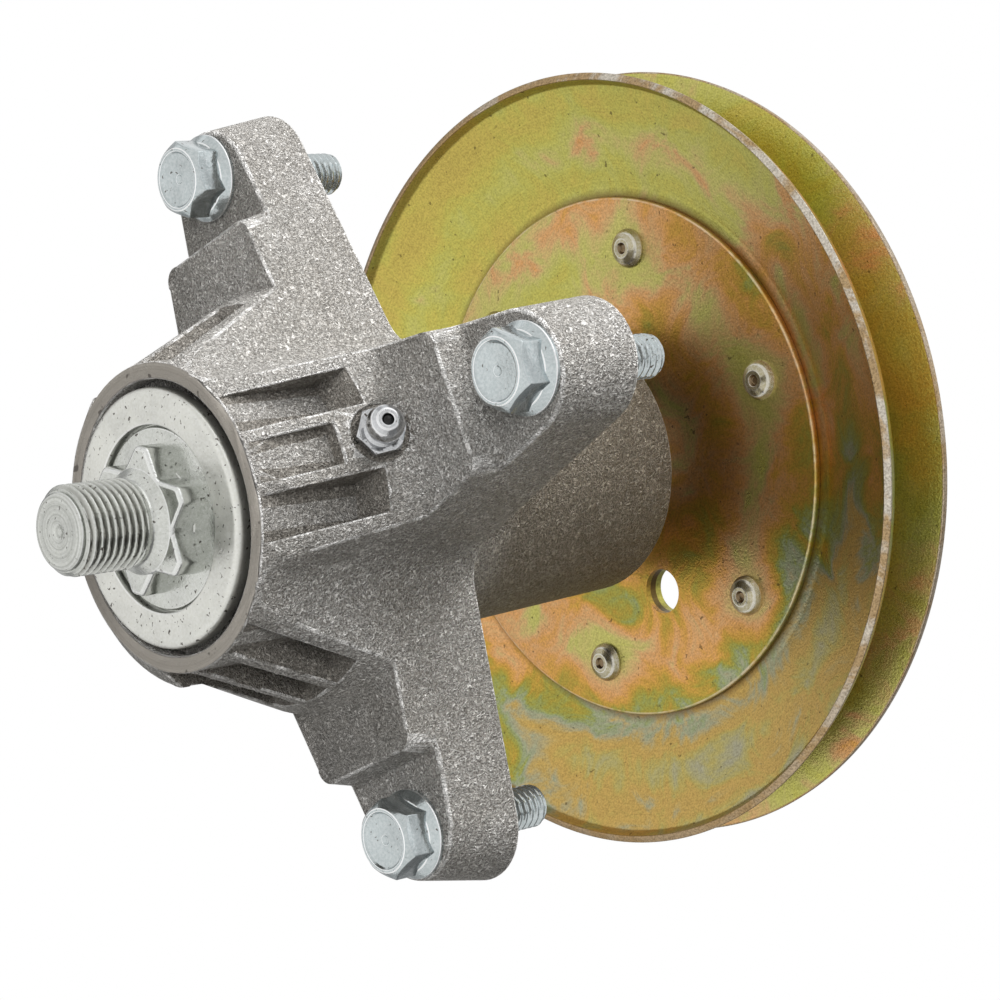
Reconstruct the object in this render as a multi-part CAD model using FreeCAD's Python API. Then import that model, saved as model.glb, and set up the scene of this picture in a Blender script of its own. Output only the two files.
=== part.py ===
"""Mower deck spindle: a cast housing with three ears, a star-ended blade shaft on two ball bearings and a
two-part pressed pulley.

Millimetres. Z is the spindle's axis, with the pulley end up. The origin is on the axis, in the plane of the
ears' deck faces. The ear with the grease fitting points along +X.
"""
import math
import os

import FreeCAD
import Part
from FreeCAD import Vector

# Ears and body of the casting
ear_step = 90.0              # degrees from one ear to the next
ear_sides = (-1, 0, 1)       # ears, counted from the one on +X; the fourth side is round
ear_circle_r = 63.5          # bolts on a 5 in circle
ear_end_r = 11.3             # round end of an ear, at the deck face
ear_taper = 10.8             # degrees between an ear's flank and its centre line
ear_corner_r = 9.0           # inside corner between two ears
flank_draft = 0.06           # flank slope along the axis
ear_end_draft = 0.16         # slope of its round end along the axis
seat_drop = 15.2             # deck face down to a bolt seat
block_drop = 21.0            # deck face down to the thick inner part of an ear
block_end_x = 50.2           # outer end of that thick part
block_step_run = 1.4         # run of the sloped step from it to the bolt seat
block_corner_r = 3.0
body_drop = 48.1             # deck face down to the mouth
mouth_r = 27.1
web_r = 38.6                 # tapered webs where they reach the thick part of the ears
back_r = 30.5                # round back behind the mouth
back_bevel = 3.1             # run of its bevel at the mouth
neck_height = 54.1
neck_base_r = 27.8
neck_wall = 5.2              # round the upper bearing, at the neck's end
cast_round = 0.7             # rounded edges of the casting

# Pockets in the tapered webs
pocket_width = 7.3
pocket_rib = 2.2
pocket_floor_r = 27.3
pocket_top = 27.0            # deck face down to the top of a pocket
short_pocket_top = 33.0      # the one below the grease fitting ends lower
short_pocket_slope = 0.22    # and its floor climbs

# Bearings, 17 x 40 x 12 mm
bearing_bore_r = 8.5
bearing_outer_r = 20.0
bearing_width = 12.0
ball_count = 8
ball_share = 0.29335         # ball radius over the height of the bearing's section
ring_share = 0.313           # wall of a ring over that height
cage_share = 0.235           # wall of the cage over that height
race_round = 1.04            # race curve over ball radius
cage_rim = 0.7               # cage beside a ball
seal_thick = 0.9
seal_inset = 0.4
bearing_seat_drop = 30.0     # deck face down to the lower bearing's shoulder
bearing_recess = 2.0         # upper bearing below the neck's end
bearing_shoulder = 3.0       # step behind each outer ring

# Shaft and blade end
thread_r = 7.94              # 5/8 in
thread_tip_drop = 70.2       # deck face down to the shaft's tip
tip_chamfer = 1.3
tip_dimple_r = 1.4
tip_dimple_deep = 1.2
relief_r = 7.2
relief_length = 2.2
star_lobes = 6
star_tip_r = 13.2
star_tip_half = 1.5          # half the width of a lobe's flat end
star_valley_r = 9.4
star_valley_half = 1.3       # half the width of the round bottom between two lobes
star_drop = 53.5             # deck face down to the star's front
flange_r = 16.5
flange_drop = 48.6           # deck face down to the flange's front
flange_thick = 4.0
shoulder_r = 11.3            # against the lower bearing's inner ring
top_thread_length = 19.5

# Dust ring round the shaft's flange
dust_ring_r = 22.9
dust_ring_drop = 49.6
dust_ring_thick = 3.0
dust_ring_round = 1.0
mouth_gap = 1.3              # running gap between the dust ring and the mouth
mouth_deep = 4.2

# Pulley, 6 in
pulley_r = 76.2
plate_r = 51.8
plate_thick = 1.2
plate_gap = 10.8             # end of the neck up to the plate
sheet = 1.5
bend_r = 54.0                # where the flat of a half turns into its cone
bend_round = 3.0
lower_rim_drop = 8.4         # plate down to the edge of the lower half's lip
lip = 2.2
lip_flare = 25.0             # degrees the lip opens from the axis
lip_round = 1.0
upper_rim_rise = 4.6         # flat of the upper half up to its rim
pulley_hole_r = 4.4
pulley_hole_circle_r = 28.3
rivet_count = 6
rivet_circle_r = 42.0
rivet_shank_r = 2.4
rivet_head_r = 3.9
rivet_head_height = 2.2
rivet_dimple_r = 1.1
rivet_dimple_deep = 0.7

# Spacers, washer and nut
spacer_wall = 3.0
sleeve_wall = 3.4
washer_r = 16.0
washer_thick = 2.5
nut_flats = 23.8             # 15/16 in across flats
nut_height = 13.9

# Ear bolts, 5/16 in
bolt_r = 3.97
bolt_shank_r = 3.8           # plain part, up to the deck face
bolt_length = 29.9
bolt_flange_r = 8.1
bolt_flange_thick = 1.5
bolt_flats = 12.7
bolt_head_height = 7.3
bolt_top_r = 5.6
bolt_top_dip = 0.5
bolt_turn = 10.0             # degrees from +X to the middle of a flat

# Grease fitting
fitting_drop = 26.3          # deck face down to the fitting, on the web's face
fitting_tilt = 28.0          # degrees its axis leans from square to the spindle towards the blade
fitting_seat_r = 5.2         # round seat milled square to the fitting
fitting_seat_deep = 0.6
fitting_stem_r = 3.0
fitting_stem_length = 5.0
fitting_flats = 7.9
fitting_hex_height = 2.6
fitting_neck_r = 2.5
fitting_neck_height = 2.2
fitting_head_r = 3.3
fitting_head_height = 4.2
fitting_bore_r = 1.5
fitting_mouth_r = 1.0
fitting_mouth_deep = 0.5
grease_way_r = 1.5
check_ball_r = 1.3

# Clearances
slip = 0.1                   # radial play of pieces slid on the shaft
bolt_play = 0.1
race_play = 0.02             # ball to race
cage_play = 0.12             # ball to cage
lip_play = 0.3               # seal lip to the inner ring
stem_play = 0.05
pocket_over = 1.0            # cutters reach this far past a face

UP = Vector(0, 0, 1)
ORIGIN = Vector(0, 0, 0)

# Radii and heights that follow from the sizes above
section = bearing_outer_r - bearing_bore_r
ball_r = ball_share * section
ball_circle_r = bearing_bore_r + section / 2
inner_land_r = bearing_bore_r + ring_share * section
outer_land_r = bearing_outer_r - ring_share * section
through_bore_r = bearing_outer_r - bearing_shoulder
neck_end_r = bearing_outer_r + neck_wall
mouth_z = -body_drop
flange_top_z = -flange_drop + flange_thick
lower_bearing_z = -bearing_seat_drop - bearing_width
upper_bearing_z = neck_height - bearing_recess - bearing_width
sleeve_z = upper_bearing_z + bearing_width
plate_height = neck_height + plate_gap
lower_flat_z = plate_height + plate_thick
upper_flat_z = lower_flat_z + sheet
lower_rim_height = plate_height - lower_rim_drop
upper_rim_height = upper_flat_z + upper_rim_rise
washer_z = upper_flat_z + sheet
nut_z = washer_z + washer_thick
shaft_top_z = washer_z + top_thread_length
shaft_hole_r = bearing_bore_r + slip


def polar(radius, degrees, z=0.0):
    angle = math.radians(degrees)
    return Vector(radius * math.cos(angle), radius * math.sin(angle), z)


def turned(profile):
    """A solid turned about Z from (radius, height) points."""
    points = [Vector(r, 0, z) for r, z in profile]
    face = Part.Face(Part.makePolygon(points + points[:1]))
    return face.revolve(ORIGIN, UP, 360)


def tube(inner, outer, low, high):
    return turned([(inner, low), (outer, low), (outer, high), (inner, high)])


def rod(radius, low, high):
    return Part.makeCylinder(radius, high - low, Vector(0, 0, low))


def hexagon(flats, low, high):
    corner = flats / math.sqrt(3)
    points = [polar(corner, 60 * k, low) for k in range(7)]
    return Part.Face(Part.makePolygon(points)).extrude(Vector(0, 0, high - low))


def ringed(shape, count):
    """Copies of a shape about Z, as one group of separate solids."""
    step = 360.0 / count
    return Part.makeCompound([shape.rotated(ORIGIN, UP, step * k) for k in range(count)])


def round_edges(solid, radius, chosen):
    edges = [edge for edge in solid.Edges if chosen(edge)]
    return solid.makeFillet(radius, edges)


def arc(start, middle, end):
    return Part.Arc(start, middle, end).toShape()


def cross_outline(z):
    """Outline of a cross of ears and their inside corners, drawn in from the deck face's by the draft."""
    half_step = ear_step / 2
    tilt = math.radians(ear_taper)
    inset = -z * flank_draft
    end_shift = -z * ear_end_draft
    end_r = ear_end_r - inset + end_shift * math.sin(tilt)
    corner_r = ear_corner_r + inset
    side = Vector(math.sin(tilt), math.cos(tilt), 0)
    centre = Vector(ear_circle_r - end_shift, 0, z)
    tip = centre + Vector(end_r, 0, 0)
    left = centre + side * end_r
    right = Vector(left.x, -left.y, z)
    flank_reach = centre.x * math.sin(tilt) + end_r
    corner_reach = (flank_reach + corner_r) / math.sin(math.radians(half_step) + tilt)
    corner = polar(corner_reach, half_step, z)
    corner_near = corner - side * corner_r
    corner_dip = polar(corner_reach - corner_r, half_step, z)
    corner_far = turn(Vector(corner_near.x, -corner_near.y, z), ear_step)
    edges = [
        arc(right, tip, left),
        Part.makeLine(left, corner_near),
        arc(corner_near, corner_dip, corner_far),
        Part.makeLine(corner_far, turn(right, ear_step)),
    ]
    count = round(360.0 / ear_step)
    return Part.Wire([edge.rotated(ORIGIN, UP, ear_step * k) for k in range(count) for edge in edges])


def turn(point, degrees):
    """A point swung about Z."""
    return FreeCAD.Rotation(UP, degrees).multVec(point)


def square(half, z):
    points = [turn(Vector(half, half, z), 90 * k) for k in range(5)]
    return Part.makePolygon(points)


def web_r_at(z):
    """Radius of the tapered webs at a height between the mouth and the thick part of the ears."""
    return mouth_r + (web_r - mouth_r) * (z - mouth_z) / (body_drop - block_drop)


def pocket(y, top_drop, floor_slope):
    """A pocket drawn out towards the blade, down to a round floor."""
    low = mouth_z - pocket_over
    high = -top_drop
    corner = Vector(0, y - pocket_width / 2, low)
    block = Part.makeBox(web_r + pocket_over, pocket_width, high - low, corner)
    low_r = pocket_floor_r - floor_slope * pocket_over
    high_r = pocket_floor_r + floor_slope * (high - mouth_z)
    floor = turned([(0, low), (low_r, low), (high_r, high), (0, high)])
    return block.cut(floor)


def pockets():
    spread = pocket_width + pocket_rib
    cutters = []
    for k in ear_sides:
        over_fitting = k == 0
        middle_top = short_pocket_top if over_fitting else pocket_top
        middle_slope = short_pocket_slope if over_fitting else 0.0
        group = [pocket(-spread, pocket_top, 0.0), pocket(spread, pocket_top, 0.0)]
        group.append(pocket(0.0, middle_top, middle_slope))
        cutters += [shape.rotated(ORIGIN, UP, ear_step * k) for shape in group]
    return cutters


def round_back():
    """Bell that takes the place of an ear on -X, in one with the flanks of the ears beside it."""
    bevel_z = mouth_z + back_bevel
    join_z = mouth_z + (back_r - mouth_r) * (body_drop - block_drop) / (web_r - mouth_r)
    bell = turned([
        (0, mouth_z),
        (mouth_r, mouth_z),
        (back_r, bevel_z),
        (back_r, join_z),
        (web_r, -block_drop),
        (web_r, 0),
        (0, 0),
    ])
    half = web_r + pocket_over
    keep_x = ear_end_r
    behind = Part.makeBox(half - keep_x, 2 * half, body_drop, Vector(-half, -half, mouth_z))
    return bell.common(behind)


def ears():
    """The ears with their tapered webs, thick inner parts and bolt seats."""
    cross = Part.makeLoft([cross_outline(0.0), cross_outline(mouth_z)], True, True)
    webs = turned([(0, mouth_z), (mouth_r, mouth_z), (web_r, -block_drop), (web_r, 0), (0, 0)])
    step = [square(block_end_x, -block_drop), square(block_end_x + block_step_run, -seat_drop)]
    blocks = Part.makeLoft(step, True, True)
    half = ear_circle_r + ear_end_r + pocket_over
    seats = Part.makeBox(2 * half, 2 * half, seat_drop, Vector(-half, -half, -seat_drop))
    cross = cross.common(webs.fuse([blocks, seats]))
    keep_x = web_r * math.cos(math.radians(ear_step / 2))
    behind = Part.makeBox(half - keep_x, 2 * half, body_drop + pocket_over, Vector(-half, -half, mouth_z))
    return cross.cut(behind).removeSplitter()


def spans(edge, low, high):
    """Whether an edge runs from one height to another."""
    ends = sorted(vertex.Z for vertex in edge.Vertexes)
    return abs(ends[0] - low) < 1e-4 and abs(ends[-1] - high) < 1e-4


def casting():
    """Outside of the housing: ears, round back and neck, with rounded edges."""
    body = round_edges(ears(), block_corner_r, lambda edge: spans(edge, -block_drop, -seat_drop))
    body = round_edges(body, cast_round, lambda edge: spans(edge, -seat_drop, -seat_drop))
    barrel = turned([
        (0, mouth_z),
        (mouth_r, mouth_z),
        (neck_base_r, 0),
        (neck_end_r, neck_height),
        (0, neck_height),
    ])
    return body.fuse([round_back(), barrel]).removeSplitter()


def bolt_places():
    return [polar(ear_circle_r, ear_step * k) for k in ear_sides]


def place_fitting(shape):
    """Set a shape drawn along Z, its base at the origin, in the place of the grease fitting."""
    outward = FreeCAD.Rotation(Vector(0, 1, 0), 90 + fitting_tilt)
    base = Vector(web_r_at(-fitting_drop), 0, -fitting_drop)
    base = base - outward.multVec(UP) * fitting_seat_deep
    placed = shape.copy()
    placed.Placement = FreeCAD.Placement(base, outward).multiply(placed.Placement)
    return placed


def housing():
    bearing_top = -bearing_seat_drop
    mouth_bore_r = dust_ring_r + mouth_gap
    cutters = pockets()
    cutters.append(rod(mouth_bore_r, mouth_z - pocket_over, mouth_z + mouth_deep))
    cutters.append(rod(bearing_outer_r, mouth_z, bearing_top))
    cutters.append(rod(through_bore_r, mouth_z, neck_height))
    cutters.append(rod(bearing_outer_r, upper_bearing_z, neck_height + pocket_over))
    hole = rod(bolt_r + bolt_play, -block_drop - pocket_over, pocket_over)
    cutters += [hole.translated(place) for place in bolt_places()]
    seat = rod(fitting_seat_r, 0, fitting_seat_r)
    stem_hole = rod(fitting_stem_r + stem_play, -fitting_stem_length - stem_play, pocket_over)
    way = rod(grease_way_r, -web_r + through_bore_r - pocket_over, 0)
    cutters += [place_fitting(shape) for shape in (seat, stem_hole, way)]
    return casting().cut(cutters)


def inner_ring(z):
    race_r = ball_r * race_round
    race_mid = ball_circle_r - ball_r - race_play + race_r
    race = Part.makeTorus(race_mid, race_r, Vector(0, 0, z + bearing_width / 2))
    return tube(bearing_bore_r, inner_land_r, z, z + bearing_width).cut(race)


def outer_ring(z):
    race_r = ball_r * race_round
    race_mid = ball_circle_r + ball_r + race_play - race_r
    race = Part.makeTorus(race_mid, race_r, Vector(0, 0, z + bearing_width / 2))
    return tube(outer_land_r, bearing_outer_r, z, z + bearing_width).cut(race)


def ball_set(z):
    centre = Vector(ball_circle_r, 0, z + bearing_width / 2)
    return ringed(Part.makeSphere(ball_r, centre), ball_count)


def cage(z):
    """Ring with a round window for each ball."""
    middle = z + bearing_width / 2
    half_wall = cage_share * section / 2
    window_r = ball_r + cage_play
    half = window_r + cage_rim
    ring = tube(ball_circle_r - half_wall, ball_circle_r + half_wall, middle - half, middle + half)
    window = Part.makeCylinder(window_r, bearing_outer_r, Vector(0, 0, middle), Vector(1, 0, 0))
    return ring.cut(ringed(window, ball_count).Solids)


def seals(z):
    inner = inner_land_r + lip_play
    low = z + seal_inset
    high = z + bearing_width - seal_inset
    lower = tube(inner, outer_land_r, low, low + seal_thick)
    upper = tube(inner, outer_land_r, high - seal_thick, high)
    return Part.makeCompound([lower, upper])


def star():
    """Six flat-ended lobes with round bottoms between them."""
    step = 360.0 / star_lobes
    lobe_angle = math.degrees(math.asin(star_tip_half / star_tip_r))
    valley_angle = math.degrees(math.asin(star_valley_half / star_valley_r))
    valley_side_r = math.hypot(star_valley_r, star_valley_half) + star_valley_half / 2
    edges = []
    for k in range(star_lobes):
        middle = step * k
        tip_start = polar(star_tip_r, middle - lobe_angle, -star_drop)
        tip_end = polar(star_tip_r, middle + lobe_angle, -star_drop)
        valley_start = polar(valley_side_r, middle + step / 2 - valley_angle, -star_drop)
        valley_dip = polar(star_valley_r, middle + step / 2, -star_drop)
        valley_end = polar(valley_side_r, middle + step / 2 + valley_angle, -star_drop)
        next_tip = polar(star_tip_r, middle + step - lobe_angle, -star_drop)
        edges.append(Part.makeLine(tip_start, tip_end))
        edges.append(Part.makeLine(tip_end, valley_start))
        edges.append(arc(valley_start, valley_dip, valley_end))
        edges.append(Part.makeLine(valley_end, next_tip))
    outline = Part.Face(Part.Wire(edges))
    return outline.extrude(Vector(0, 0, star_drop - flange_drop + flange_thick / 2))


def shaft():
    tip_z = -thread_tip_drop
    relief_z = -star_drop - relief_length
    relief_step = thread_r - relief_r
    shoulder_z = lower_bearing_z
    journal_top = washer_z - slip
    body = turned([
        (0, tip_z),
        (thread_r - tip_chamfer, tip_z),
        (thread_r, tip_z + tip_chamfer),
        (thread_r, relief_z - relief_step),
        (relief_r, relief_z),
        (relief_r, -star_drop - relief_length / 2),
        (star_valley_r, -star_drop),
        (star_valley_r, -flange_drop),
        (flange_r, -flange_drop),
        (flange_r, flange_top_z),
        (shoulder_r, flange_top_z),
        (shoulder_r, shoulder_z),
        (bearing_bore_r, shoulder_z),
        (bearing_bore_r, journal_top),
        (thread_r, journal_top),
        (thread_r, shaft_top_z - tip_chamfer),
        (thread_r - tip_chamfer, shaft_top_z),
        (0, shaft_top_z),
    ])
    dimple = Part.makeCone(tip_dimple_r, 0, tip_dimple_deep, Vector(0, 0, tip_z))
    return body.fuse(star()).cut(dimple).removeSplitter()


def dust_ring():
    front = -dust_ring_drop
    ring = tube(flange_r, dust_ring_r, front, front + dust_ring_thick)
    return round_edges(ring, dust_ring_round, lambda edge: is_circle(edge, dust_ring_r, front))


def is_circle(edge, radius, z):
    curve = edge.Curve
    if not isinstance(curve, Part.Circle):
        return False
    return abs(curve.Radius - radius) < 1e-6 and abs(curve.Center.z - z) < 1e-6


def pulley_plate():
    plate = tube(shaft_hole_r, plate_r, plate_height, lower_flat_z)
    return drill_pulley(plate)


def drill_pulley(sheet_piece):
    """The rivet holes and the plain hole, through every sheet of the pulley."""
    low = plate_height - pocket_over
    high = washer_z + pocket_over
    rivet_hole = rod(rivet_shank_r, low, high).translated(Vector(rivet_circle_r, 0, 0))
    plain_hole = rod(pulley_hole_r, low, high).translated(Vector(0, pulley_hole_circle_r, 0))
    return sheet_piece.cut(ringed(rivet_hole, rivet_count).Solids + [plain_hole])


def pressed(points, rounds):
    """Sheet turned about Z. One side runs through (radius, height) points, the other a thickness to its left.
    Each bend has its radius on the hollow side."""
    sides = []
    for (r0, z0), (r1, z1) in zip(points, points[1:]):
        length = math.hypot(r1 - r0, z1 - z0)
        sides.append(((z0 - z1) / length, (r1 - r0) / length))
    far = []
    for k, (r, z) in enumerate(points):
        a = sides[max(k - 1, 0)]
        b = sides[min(k, len(sides) - 1)]
        share = sheet / (1 + a[0] * b[0] + a[1] * b[1])
        far.append((r + share * (a[0] + b[0]), z + share * (a[1] + b[1])))
    solid = turned(points + far[::-1])
    for k, radius in enumerate(rounds, 1):
        turns_left = sides[k - 1][0] * sides[k][1] > sides[k - 1][1] * sides[k][0]
        near_r = radius + sheet if turns_left else radius
        far_r = radius if turns_left else radius + sheet
        solid = round_edges(solid, near_r, lambda edge: is_circle(edge, *points[k]))
        solid = round_edges(solid, far_r, lambda edge: is_circle(edge, *far[k]))
    return solid


def pulley_lower_half():
    flare = math.radians(lip_flare)
    rim_r = pulley_r - sheet * math.cos(flare)
    half = pressed(
        [
            (shaft_hole_r, lower_flat_z),
            (bend_r, lower_flat_z),
            (rim_r - lip * math.tan(flare), lower_rim_height + lip),
            (rim_r, lower_rim_height),
        ],
        [bend_round, lip_round],
    )
    return drill_pulley(half)


def pulley_upper_half():
    half = pressed(
        [(shaft_hole_r, upper_flat_z), (bend_r, upper_flat_z), (pulley_r, upper_rim_height)],
        [bend_round],
    )
    return drill_pulley(half)


def rivets():
    """Dome rivets with a dimpled lower head and a flatter upper head."""
    low = plate_height
    high = washer_z
    edge = rivet_head_height / 4
    shoulder = rivet_head_r * 0.75
    body = turned([
        (0, low - rivet_head_height),
        (rivet_head_r / 2, low - rivet_head_height),
        (shoulder, low - rivet_head_height + edge),
        (rivet_head_r, low - edge),
        (rivet_head_r, low),
        (rivet_shank_r, low),
        (rivet_shank_r, high),
        (rivet_head_r, high),
        (rivet_head_r, high + edge),
        (shoulder, high + 2 * edge),
        (0, high + 2 * edge),
    ])
    dimple = Part.makeCone(rivet_dimple_r, rivet_dimple_r / 2, rivet_dimple_deep, Vector(0, 0, low - rivet_head_height))
    return ringed(body.cut(dimple).translated(Vector(rivet_circle_r, 0, 0)), rivet_count)


def top_nut():
    corner = nut_flats / math.sqrt(3)
    bevel = corner - nut_flats / 2
    blank = hexagon(nut_flats, nut_z, nut_z + nut_height)
    limit = turned([
        (thread_r, nut_z),
        (corner, nut_z),
        (corner, nut_z + nut_height - bevel / 2),
        (nut_flats / 2, nut_z + nut_height),
        (thread_r, nut_z + nut_height),
    ])
    return blank.common(limit)


def mounting_bolts():
    """Flanged hex bolts, heads on the blade side of the ears."""
    seat = -seat_drop
    top = seat - bolt_head_height
    end = seat + bolt_length
    corner = bolt_flats / math.sqrt(3)
    collar = seat - bolt_flange_thick
    flange = turned([
        (0, seat),
        (bolt_flange_r, seat),
        (bolt_flange_r, seat - bolt_flange_thick / 2),
        (bolt_flats / 2, collar - bolt_flange_thick / 2),
        (0, collar - bolt_flange_thick / 2),
    ])
    limit = turned([(0, seat), (corner, seat), (corner, top + corner - bolt_top_r), (bolt_top_r, top), (0, top)])
    hex_head = hexagon(bolt_flats, top, seat).rotated(ORIGIN, UP, bolt_turn - 30).common(limit)
    dip_r = bolt_top_r - bolt_top_dip
    dip = Part.makeCone(dip_r, dip_r - bolt_top_dip, bolt_top_dip, Vector(0, 0, top))
    point = bolt_r / 5
    shank = turned([
        (0, seat),
        (bolt_shank_r, seat),
        (bolt_shank_r, 0),
        (bolt_r, 0),
        (bolt_r, end - point),
        (bolt_r - point, end),
        (0, end),
    ])
    bolt = shank.fuse([flange, hex_head]).cut(dip).removeSplitter()
    return Part.makeCompound([bolt.translated(place) for place in bolt_places()])


def grease_fitting():
    hex_top = fitting_hex_height
    neck_top = hex_top + fitting_neck_height
    top = neck_top + fitting_head_height
    flare = fitting_head_r - fitting_neck_r
    crown_r = fitting_mouth_r * 2
    body = turned([
        (0, -fitting_stem_length),
        (fitting_stem_r, -fitting_stem_length),
        (fitting_stem_r, 0),
        (fitting_neck_r, hex_top),
        (fitting_neck_r, neck_top),
        (fitting_head_r, neck_top + flare),
        (fitting_head_r, top - 2 * fitting_mouth_r - flare),
        (crown_r, top - flare / 2),
        (crown_r - flare / 4, top),
        (0, top),
    ])
    body = body.fuse(hexagon(fitting_flats, 0, hex_top)).removeSplitter()
    bore = rod(fitting_bore_r, -fitting_stem_length - pocket_over, top - fitting_mouth_deep)
    mouth = rod(fitting_mouth_r, 0, top + pocket_over)
    return place_fitting(body.cut([bore, mouth]))


def grease_check_ball():
    """Ball that closes the grease fitting's mouth from inside."""
    top = fitting_hex_height + fitting_neck_height + fitting_head_height
    below = math.sqrt((check_ball_r + stem_play) ** 2 - fitting_mouth_r ** 2)
    centre = Vector(0, 0, top - fitting_mouth_deep - below)
    return place_fitting(Part.makeSphere(check_ball_r, centre))


def nodes():
    spacer_r = shaft_hole_r + spacer_wall
    sleeve_r = shaft_hole_r + sleeve_wall
    washer_hole_r = thread_r + slip
    return {
        "housing": housing(),
        "lower_outer_ring": outer_ring(lower_bearing_z),
        "lower_inner_ring": inner_ring(lower_bearing_z),
        "lower_balls": ball_set(lower_bearing_z),
        "lower_cage": cage(lower_bearing_z),
        "lower_seals": seals(lower_bearing_z),
        "upper_outer_ring": outer_ring(upper_bearing_z),
        "upper_inner_ring": inner_ring(upper_bearing_z),
        "upper_balls": ball_set(upper_bearing_z),
        "upper_cage": cage(upper_bearing_z),
        "upper_seals": seals(upper_bearing_z),
        "bearing_spacer": tube(shaft_hole_r, spacer_r, -bearing_seat_drop, upper_bearing_z),
        "shaft": shaft(),
        "dust_ring": dust_ring(),
        "hub_sleeve": tube(shaft_hole_r, sleeve_r, sleeve_z, plate_height),
        "pulley_plate": pulley_plate(),
        "pulley_lower_half": pulley_lower_half(),
        "pulley_upper_half": pulley_upper_half(),
        "pulley_rivets": rivets(),
        "top_washer": tube(washer_hole_r, washer_r, washer_z, nut_z),
        "top_nut": top_nut(),
        "mounting_bolts": mounting_bolts(),
        "grease_fitting": grease_fitting(),
        "grease_check_ball": grease_check_ball(),
    }


os.makedirs("parts", exist_ok=True)
for name, shape in nodes().items():
    shape.exportStep("parts/" + name + ".step")
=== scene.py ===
"""Mower deck spindle: the looks of its casting, shaft, plated pulley and small pieces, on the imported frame."""
import math

import bmesh
import bpy
from mathutils import Matrix, Vector


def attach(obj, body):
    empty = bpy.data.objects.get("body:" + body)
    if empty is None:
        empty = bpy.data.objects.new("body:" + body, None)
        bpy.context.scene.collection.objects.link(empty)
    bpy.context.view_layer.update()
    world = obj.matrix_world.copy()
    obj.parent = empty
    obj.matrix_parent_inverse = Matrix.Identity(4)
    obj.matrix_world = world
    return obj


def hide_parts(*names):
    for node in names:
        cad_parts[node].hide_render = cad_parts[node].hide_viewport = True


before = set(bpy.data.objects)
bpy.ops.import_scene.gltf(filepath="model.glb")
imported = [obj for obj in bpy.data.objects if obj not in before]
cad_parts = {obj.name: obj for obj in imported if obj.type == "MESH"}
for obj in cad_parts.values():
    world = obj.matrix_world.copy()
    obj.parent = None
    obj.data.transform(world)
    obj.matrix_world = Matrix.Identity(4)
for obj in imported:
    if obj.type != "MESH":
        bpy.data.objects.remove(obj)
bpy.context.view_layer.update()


# Housing. One aluminium casting with three ears, shot-blasted after casting, so all of it has a fine grain, painted
# with bright glints.
# The mouth's rim and the bearing bores are turned. Edges are rounded by the mould and rubbed bright, and the slotted
# pockets are painted darker as shade.
MM = 0.001


def add(tree, kind, inputs=None, **settings):
    """A node with its settings made and its inputs set or wired."""
    made = tree.nodes.new(kind)
    for key, value in settings.items():
        setattr(made, key, value)
    for key, value in (inputs or {}).items():
        if isinstance(value, bpy.types.NodeSocket):
            tree.links.new(value, made.inputs[key])
        else:
            made.inputs[key].default_value = value
    return made


def new_finish(name):
    """A material with its node tree, its surface shader and the object's own coordinates."""
    finish = bpy.data.materials.new(name)
    finish.use_nodes = True
    tree = finish.node_tree
    place = add(tree, "ShaderNodeTexCoord").outputs["Object"]
    return finish, tree, tree.nodes["Principled BSDF"], place


def noise(tree, place, scale, detail=3.0, roughness=0.55, distortion=0.0):
    inputs = {"Vector": place, "Scale": scale, "Detail": detail, "Roughness": roughness, "Distortion": distortion}
    return add(tree, "ShaderNodeTexNoise", inputs).outputs["Fac"]


def ramp(tree, factor, stops, ease="LINEAR"):
    """Colours along a value, as (position, red, green, blue)."""
    made = add(tree, "ShaderNodeValToRGB", {"Fac": factor})
    band = made.color_ramp
    band.interpolation = ease
    while len(band.elements) < len(stops):
        band.elements.new(1.0)
    for element, (position, red, green, blue) in zip(band.elements, stops):
        element.position = position
        element.color = (red, green, blue, 1.0)
    return made.outputs["Color"]


def blend(tree, factor, under, over, mode="MIX"):
    made = add(tree, "ShaderNodeMix", data_type="RGBA", blend_type=mode)
    for socket, value in ((made.inputs[0], factor), (made.inputs[6], under), (made.inputs[7], over)):
        if isinstance(value, bpy.types.NodeSocket):
            tree.links.new(value, socket)
        else:
            socket.default_value = value
    return made.outputs[2]


def span(tree, value, low, high, to_low=0.0, to_high=1.0):
    inputs = {"Value": value, "From Min": low, "From Max": high, "To Min": to_low, "To Max": to_high}
    return add(tree, "ShaderNodeMapRange", inputs).outputs["Result"]


def reckon(tree, operation, first, second=0.0, third=0.0):
    return add(tree, "ShaderNodeMath", {0: first, 1: second, 2: third}, operation=operation).outputs[0]


def mark(tree, name):
    """What a mesh's faces are marked with: rub on a rubbed edge, pocket_shade on a pocket's faces, which get painted
    shade, 0 elsewhere.
    """
    return add(tree, "ShaderNodeAttribute", attribute_name=name).outputs["Fac"]


def from_axis(tree, place):
    """Distance from the shaft's axis, and the point's own x, y and z."""
    spot = add(tree, "ShaderNodeSeparateXYZ", {0: place}).outputs
    flat = add(tree, "ShaderNodeCombineXYZ", {"X": spot["X"], "Y": spot["Y"]}).outputs[0]
    return add(tree, "ShaderNodeVectorMath", {0: flat}, operation="LENGTH").outputs["Value"], spot


def turning_marks(tree, radius, scale):
    """Fine rings round the axis, as a tool or a spinning cloth leaves them."""
    line = add(tree, "ShaderNodeCombineXYZ", {"X": radius}).outputs[0]
    return noise(tree, line, scale, 2.0, 0.6)


def bump(tree, shader, height, distance):
    made = add(tree, "ShaderNodeBump", {"Height": height, "Distance": distance})
    tree.links.new(made.outputs["Normal"], shader.inputs["Normal"])


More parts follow.
